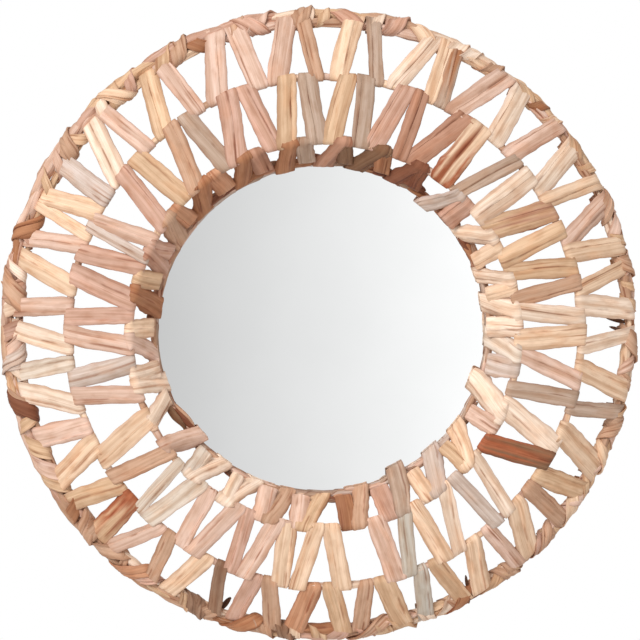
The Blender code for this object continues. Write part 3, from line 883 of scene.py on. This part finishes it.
class Tree:
    """A node tree, and the few steps that this mirror's finishes and surroundings are made from."""

    def __init__(self, tree):
        self.nodes = tree.nodes
        self.links = tree.links

    def feed(self, socket, value):
        """Links an input to another node's output, or sets it to a value."""
        if isinstance(value, bpy.types.NodeSocket):
            self.links.new(value, socket)
        else:
            socket.default_value = value

    def add(self, kind, inputs=(), **settings):
        """A new node with its settings, and what its inputs are fed with."""
        node = self.nodes.new(kind)
        for name, value in settings.items():
            setattr(node, name, value)
        for name, value in dict(inputs).items():
            self.feed(node.inputs[name], value)
        return node

    def grain(self, source, scale, detail=2.0, rough_share=0.5):
        """Noise with so many waves a metre along each axis."""
        stretched = self.add("ShaderNodeMapping", {"Scale": scale, "Vector": source})
        return self.add("ShaderNodeTexNoise", {
            "Scale": 1.0, "Detail": detail, "Roughness": rough_share,
            "Vector": stretched.outputs["Vector"]}).outputs["Fac"]

    def attribute(self, name, output="Fac"):
        """What a mesh holds for each point under a name."""
        return self.add("ShaderNodeAttribute", attribute_name=name).outputs[output]

    def product(self, first, second):
        """Two values multiplied."""
        return self.add("ShaderNodeMath", {0: first, 1: second},
                        operation="MULTIPLY").outputs["Value"]

    def spread(self, value, low, high, to_low=0.0, to_high=1.0):
        """A value's range from low to high, moved to another range."""
        return self.add("ShaderNodeMapRange", {
            "Value": value, "From Min": low, "From Max": high,
            "To Min": to_low, "To Max": to_high}).outputs["Result"]

    def scale(self, value, *stops):
        """A colour for a value, from colours at stops."""
        node = self.add("ShaderNodeValToRGB", {"Fac": value})
        elements = node.color_ramp.elements
        while len(elements) < len(stops):
            elements.new(0.5)
        for element, (place, colour) in zip(elements, stops):
            element.position = place
            element.color = colour
        return node.outputs["Color"]

    def blended(self, colour, over, share, mode="MIX"):
        """A colour with so much of another laid over it."""
        return self.add("ShaderNodeMix", {"Factor": share, 6: colour, 7: over},
                        data_type="RGBA", blend_type=mode).outputs[2]

    def bump(self, height, strength, distance, **before):
        """Relief from a value, on top of any Normal before it."""
        return self.add("ShaderNodeBump", {
            "Height": height, "Strength": strength, "Distance": distance,
            **before}).outputs["Normal"]

    def background(self, strength):
        """White light from all round."""
        return self.add("ShaderNodeBackground", {
            "Color": (1.0, 1.0, 1.0, 1.0), "Strength": strength}).outputs["Background"]

    def mixed(self, share, first, second):
        """One shader where the share is 0, and another where it is 1."""
        return self.add("ShaderNodeMixShader", {0: share, 1: first, 2: second}).outputs["Shader"]


class Finish(Tree):
    """A material with one shader."""

    def __init__(self, name, roughness, metallic=0.0):
        self.material = bpy.data.materials.new(name)
        self.material.use_nodes = True
        super().__init__(self.material.node_tree)
        self.shader = self.nodes["Principled BSDF"]
        self.set("Roughness", roughness)
        self.set("Metallic", metallic)

    def set(self, name, value):
        """Feeds one of the shader's inputs."""
        self.feed(self.shader.inputs[name], value)


def leaf_finish():
    """Dried leaf: each strip's own tone, with broad bands, fibres, dark veins and stains, dark folds that
    are partly painted shade, and painted shade along the edges.
    """
    leaf = Finish("dried_leaf", 0.62)
    chart = leaf.add("ShaderNodeUVMap", uv_map="leaf").outputs["UV"]
    bands = leaf.grain(chart, (200.0, 6.0, 1.0))
    fibres = leaf.grain(chart, (1500.0, 24.0, 1.0))
    clouds = leaf.grain(chart, (150.0, 60.0, 1.0), 3.0)
    blush = leaf.grain(chart, (110.0, 30.0, 1.0))
    veins = leaf.grain(chart, (420.0, 6.0, 1.0), 2.0, 0.6)
    gaps = leaf.grain(chart, (70.0, 26.0, 1.0))
    colour = leaf.attribute("tone", "Color")
    for tint, source, low, high, share in (
            (srgb(213, 191, 175), bands, 0.48, 0.70, 0.6),
            ((1.21, 1.26, 1.35, 1.0), bands, 0.54, 0.34, 0.7),
            (srgb(255, 238, 224), blush, 0.50, 0.66, 0.6),
            (srgb(228, 216, 206), clouds, 0.48, 0.68, 0.6)):
        colour = leaf.blended(colour, tint, leaf.spread(source, low, high, 0.0, share), "MULTIPLY")
    vein = leaf.product(leaf.spread(veins, 0.57, 0.68), leaf.spread(gaps, 0.46, 0.60, 0.0, 0.75))
    colour = leaf.blended(colour, srgb(204, 165, 139), vein, "MULTIPLY")
    broken_folds_and_shade = leaf.product(leaf.attribute("fold_line_and_shade"), leaf.spread(gaps, 0.42, 0.56))
    # Fibres, then dark folds that are partly the leaf's own colour and partly painted shade, then painted
    # shade along the edges and inner sides
    for tint, source, low, high, share in (
            (srgb(222, 208, 196), fibres, 0.40, 0.72, 0.5),
            (srgb(180, 138, 112), broken_folds_and_shade, 0.3, 1.0, 0.85),
            (srgb(214, 202, 198), leaf.attribute("edge"), 0.70, 1.0, 0.7)):
        colour = leaf.blended(colour, tint, leaf.spread(source, low, high, 0.0, share), "MULTIPLY")
    leaf.set("Base Color", colour)
    leaf.set("Roughness", leaf.spread(fibres, 0.3, 0.7, 0.52, 0.74))
    coarse = leaf.bump(bands, 0.35, 0.0006)
    leaf.set("Normal", leaf.bump(fibres, 0.18, 0.0003, Normal=coarse))
    leaf.set("Specular IOR Level", 0.35)
    return leaf.material


def glass_finish():
    """Silvered glass: a clean mirror with the faintest haze."""
    glass = Finish("silvered_glass", 0.02, 1.0)
    chart = glass.add("ShaderNodeTexCoord").outputs["Object"]
    haze = glass.grain(chart, (9.0, 9.0, 9.0), 3.0)
    glass.set("Base Color", glass.scale(
        haze, (0.3, srgb(246, 247, 247)), (0.7, srgb(250, 251, 251))))
    glass.set("Roughness", glass.spread(haze, 0.3, 0.7, 0.012, 0.03))
    return glass.material


def board_finish():
    """Brown fibreboard with pressed fibres and scuffs."""
    board = Finish("fibreboard", 0.8)
    chart = board.add("ShaderNodeTexCoord").outputs["Object"]
    flecks = board.grain(chart, (900.0, 900.0, 900.0), 3.0)
    clouds = board.grain(chart, (14.0, 14.0, 14.0), 3.0)
    colour = board.scale(flecks, (0.35, srgb(118, 84, 56)), (0.5, srgb(146, 108, 75)),
                         (0.68, srgb(176, 140, 104)))
    board.set("Base Color", board.blended(
        colour, srgb(104, 78, 56), board.spread(clouds, 0.45, 0.75, 0.0, 0.4)))
    board.set("Normal", board.bump(flecks, 0.4, 0.0004))
    board.set("Roughness", board.spread(flecks, 0.3, 0.7, 0.7, 0.9))
    return board.material


def steel_finish():
    """Zinc-plated steel with brushed streaks and soft blotches."""
    steel = Finish("zinc_steel", 0.35, 1.0)
    chart = steel.add("ShaderNodeTexCoord").outputs["Object"]
    brushed = steel.grain(chart, (120.0, 900.0, 2200.0))
    blotch = steel.grain(chart, (160.0, 160.0, 160.0))
    steel.set("Base Color", steel.scale(
        blotch, (0.3, srgb(168, 170, 172)), (0.7, srgb(204, 205, 206))))
    steel.set("Roughness", steel.spread(brushed, 0.3, 0.7, 0.26, 0.46))
    steel.set("Normal", steel.bump(brushed, 0.15, 0.0002))
    return steel.material


def dress(piece, finish, slot, *nodes):
    """Gives a new piece its finish and hides the CAD nodes it stands for; the slot is not used."""
    piece.data.materials.clear()
    piece.data.materials.append(finish)
    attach(piece, "root")
    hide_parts(*nodes)


def set_floor():
    """A round pale floor well below the mirror."""
    select()
    bpy.ops.mesh.primitive_circle_add(vertices=96, radius=FLOOR_RADIUS, fill_type="NGON",
                                      location=FLOOR_PLACE)
    floor = bpy.context.object
    floor.name = "floor"
    pale = Finish("pale_floor", 0.8)
    pale.set("Base Color", srgb(240, 240, 240))
    floor.data.materials.append(pale.material)


def set_room():
    """White surroundings, which the glass shows as grey on the left and paler to the right."""
    world = bpy.data.worlds.new("white_room")
    bpy.context.scene.world = world
    world.use_nodes = True
    room = Tree(world.node_tree)
    room.nodes.clear()
    direction = room.add("ShaderNodeTexCoord").outputs["Generated"]
    right = room.add("ShaderNodeSeparateXYZ", {"Vector": direction}).outputs["X"]
    mirrored = room.background(room.spread(right, *ROOM_FADE))
    rays = room.add("ShaderNodeLightPath").outputs
    glossy = room.mixed(rays["Is Glossy Ray"], room.background(ROOM_STRENGTH), mirrored)
    seen = room.mixed(rays["Is Camera Ray"], glossy, room.background(1.0))
    room.add("ShaderNodeOutputWorld", {"Surface": seen})


def set_light():
    """A large soft light from the upper left."""
    bpy.ops.object.light_add(type="AREA", location=KEY_PLACE)
    key = bpy.context.object
    key.name = "key_light"
    key.data.size = KEY_SIZE
    key.data.energy = KEY_POWER
    key.rotation_euler = (CENTRE - KEY_PLACE).to_track_quat("-Z", "Y").to_euler()


def set_camera():
    """The camera, a little to the left of the mirror and above it."""
    sight = Vector((math.sin(AZIMUTH) * math.cos(ELEVATION),
                    -math.cos(AZIMUTH) * math.cos(ELEVATION), math.sin(ELEVATION)))
    bpy.ops.object.camera_add(location=AIM + sight * DISTANCE)
    camera = bpy.context.object
    camera.rotation_euler = (-sight).to_track_quat("-Z", "Y").to_euler()
    camera.data.lens = LENS
    bpy.context.scene.camera = camera
    bpy.context.scene.view_settings.view_transform = "Standard"


def dress_frame(leaf):
    """The woven frame: three bands of strips, the rim, and the windings of the thin rings."""
    blanks = [leaf_blank(fold, STRIP_GRID) for fold in BLANK_FOLDS]
    short_blanks = [leaf_blank(fold, WRAP_GRID) for fold in BLANK_FOLDS]
    roll = roll_blank()

    outer = band("outer_strips", OUTER_STRIPS, rim_at, SECOND_RING, blanks, 0.0002, 100)
    dress(outer, leaf, "leaf", "outer_weave")
    middle = band("middle_strips", MIDDLE_STRIPS, lambda angle: SECOND_RING, THIRD_RING, blanks,
                  0.0006, 200)
    dress(middle, leaf, "leaf", "middle_weave")
    inner = inner_band("inner_strips", INNER_STRIPS, blanks, 300)
    dress(inner, leaf, "leaf", "inner_weave")

    for piece in make_rim(short_blanks, roll):
        dress(piece, leaf, "wrapping", "outer_rim")
    for name, ring, seed, node in (("second_winding", SECOND_RING, 51, "second_ring"),
                                   ("third_winding", THIRD_RING, 52, "third_ring")):
        winding = wound_ring(name, ring, seed, (TAN, PINK, HONEY, CREAM), 0.0008)
        dress(winding, leaf, "wrapping", node)
    tones = (TAUPE, TAN, PINK, GREY)
    winding = wound_ring("inner_winding", INNER_RING, 53, tones, 0.0005)
    bed = wound_ring("glass_bed", GLASS_EDGE, 54, tones, 0.0)
    dress(joined("inner_winding", [winding, bed] + make_inner_rope(roll)), leaf, "wrapping",
          "inner_ring")

    for blank in blanks + short_blanks + [roll]:
        bpy.data.objects.remove(blank)


def dress_back():
    """The glass, the board behind it, and the hanger, which keep the solids' own shapes."""
    steel = steel_finish()
    for node, finish in (("mirror_glass", glass_finish()), ("backing_board", board_finish()),
                         ("hanger_plate", steel), ("hanger_screw_left", steel),
                         ("hanger_screw_right", steel)):
        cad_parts[node].material_slots[0].material = finish


dress_frame(leaf_finish())
dress_back()
set_floor()
set_room()
set_light()
set_camera()
